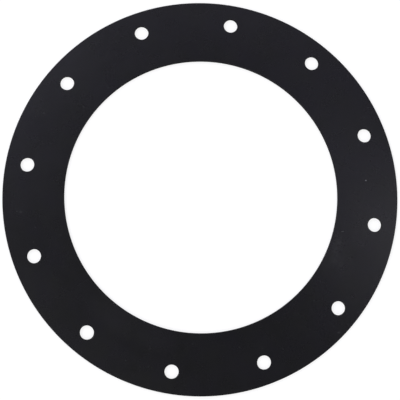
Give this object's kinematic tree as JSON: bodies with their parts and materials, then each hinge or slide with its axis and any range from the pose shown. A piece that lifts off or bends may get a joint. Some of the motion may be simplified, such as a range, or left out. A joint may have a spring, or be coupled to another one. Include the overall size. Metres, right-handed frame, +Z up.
{
  "type": "flat ring gasket",
  "caption": "Flat black rubber ring gasket with a wide bore and a circle of bolt holes near the rim, laid between two bolted flanges to seal them.",
  "frame": {"origin": "centre of the under face, where the bore's axis meets the surface that the gasket lies on", "axes": "+Z up through the sheet along the bore's axis; +X through the centre of a bolt hole"},
  "size_m": [0.2, 0.2, 0.0015],
  "materials": {
    "rubber_sheet": "satin"
  },
  "bodies": {
    "root": {"gasket": "rubber_sheet"}
  },
  "joints": []
}
